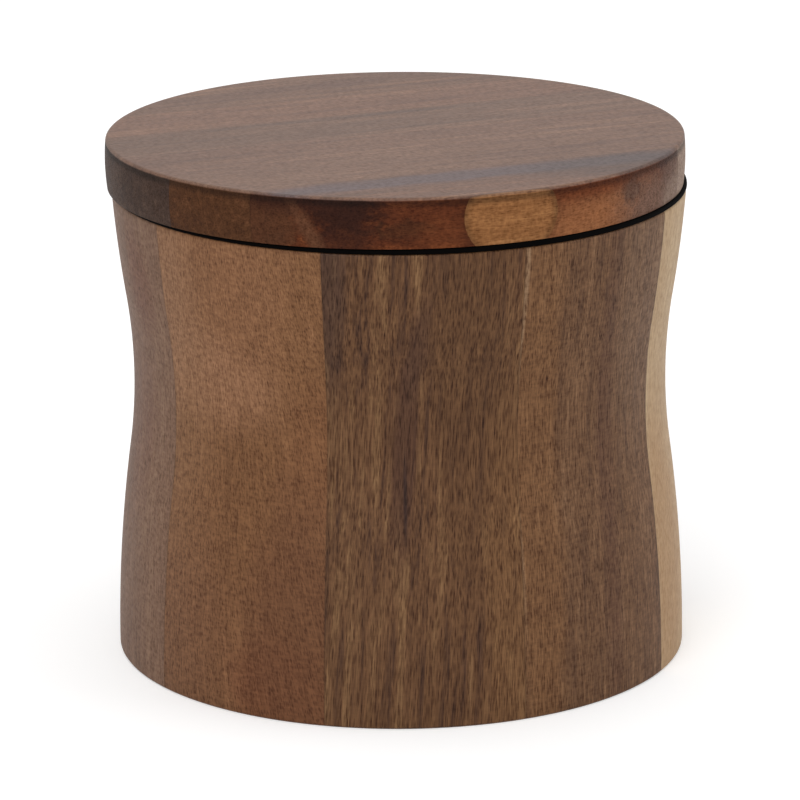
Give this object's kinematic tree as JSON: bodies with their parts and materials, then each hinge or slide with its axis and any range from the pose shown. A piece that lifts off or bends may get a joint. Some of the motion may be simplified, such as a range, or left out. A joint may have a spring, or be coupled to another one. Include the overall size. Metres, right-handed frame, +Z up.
{
  "type": "wooden spice box with hinged lid",
  "caption": "Round waisted box of glued wooden staves with a board base, a black seal on its rim and a flat board lid hinged at the back.",
  "frame": {"origin": "middle of the underside, on the surface the box stands on", "axes": "+Z up, -Y the opening side of the lid, +Y the hinge, +X along the hinge pin and the lid's grain"},
  "size_m": [0.1062, 0.11, 0.0972],
  "materials": {
    "wood_orange_brown": "oiled, satin",
    "wood_dark_brown": "oiled, satin",
    "wood_grey_brown": "oiled, satin",
    "wood_sapwood": "oiled, satin",
    "wood_mid_brown": "oiled, satin",
    "wood_lid": "oiled, satin",
    "seal_black": "matte",
    "hinge_brass": "satin",
    "pin_brass": "satin",
    "screw_brass": "satin"
  },
  "bodies": {
    "box_body": {"stave_1": "wood_orange_brown", "stave_2": "wood_dark_brown", "stave_3": "wood_grey_brown", "stave_4": "wood_sapwood", "stave_5": "wood_mid_brown", "stave_6": "wood_dark_brown", "stave_7": "wood_mid_brown", "stave_8": "wood_dark_brown", "stave_9": "wood_grey_brown", "base_board_1": "wood_mid_brown", "base_board_2": "wood_dark_brown", "base_board_3": "wood_mid_brown", "base_board_4": "wood_dark_brown", "base_board_5": "wood_mid_brown", "seal_ring": "seal_black", "hinge_body_leaf": "hinge_brass", "hinge_pin": "pin_brass", "body_screws": "screw_brass"},
    "lid": {"lid_board_1": "wood_sapwood", "lid_board_2": "wood_lid", "lid_board_3": "wood_lid", "lid_board_4": "wood_lid", "lid_board_5": "wood_lid", "lid_board_6": "wood_lid", "lid_board_7": "wood_lid", "hinge_lid_leaf": "hinge_brass", "lid_screws": "screw_brass"}
  },
  "joints": [
    {"name": "lid_hinge", "type": "hinge", "parent": "box_body", "child": "lid", "pos_m": [0, 0.0552, 0.08703], "axis": [-1, 0, 0], "range_deg": [0, 104]}
  ]
}
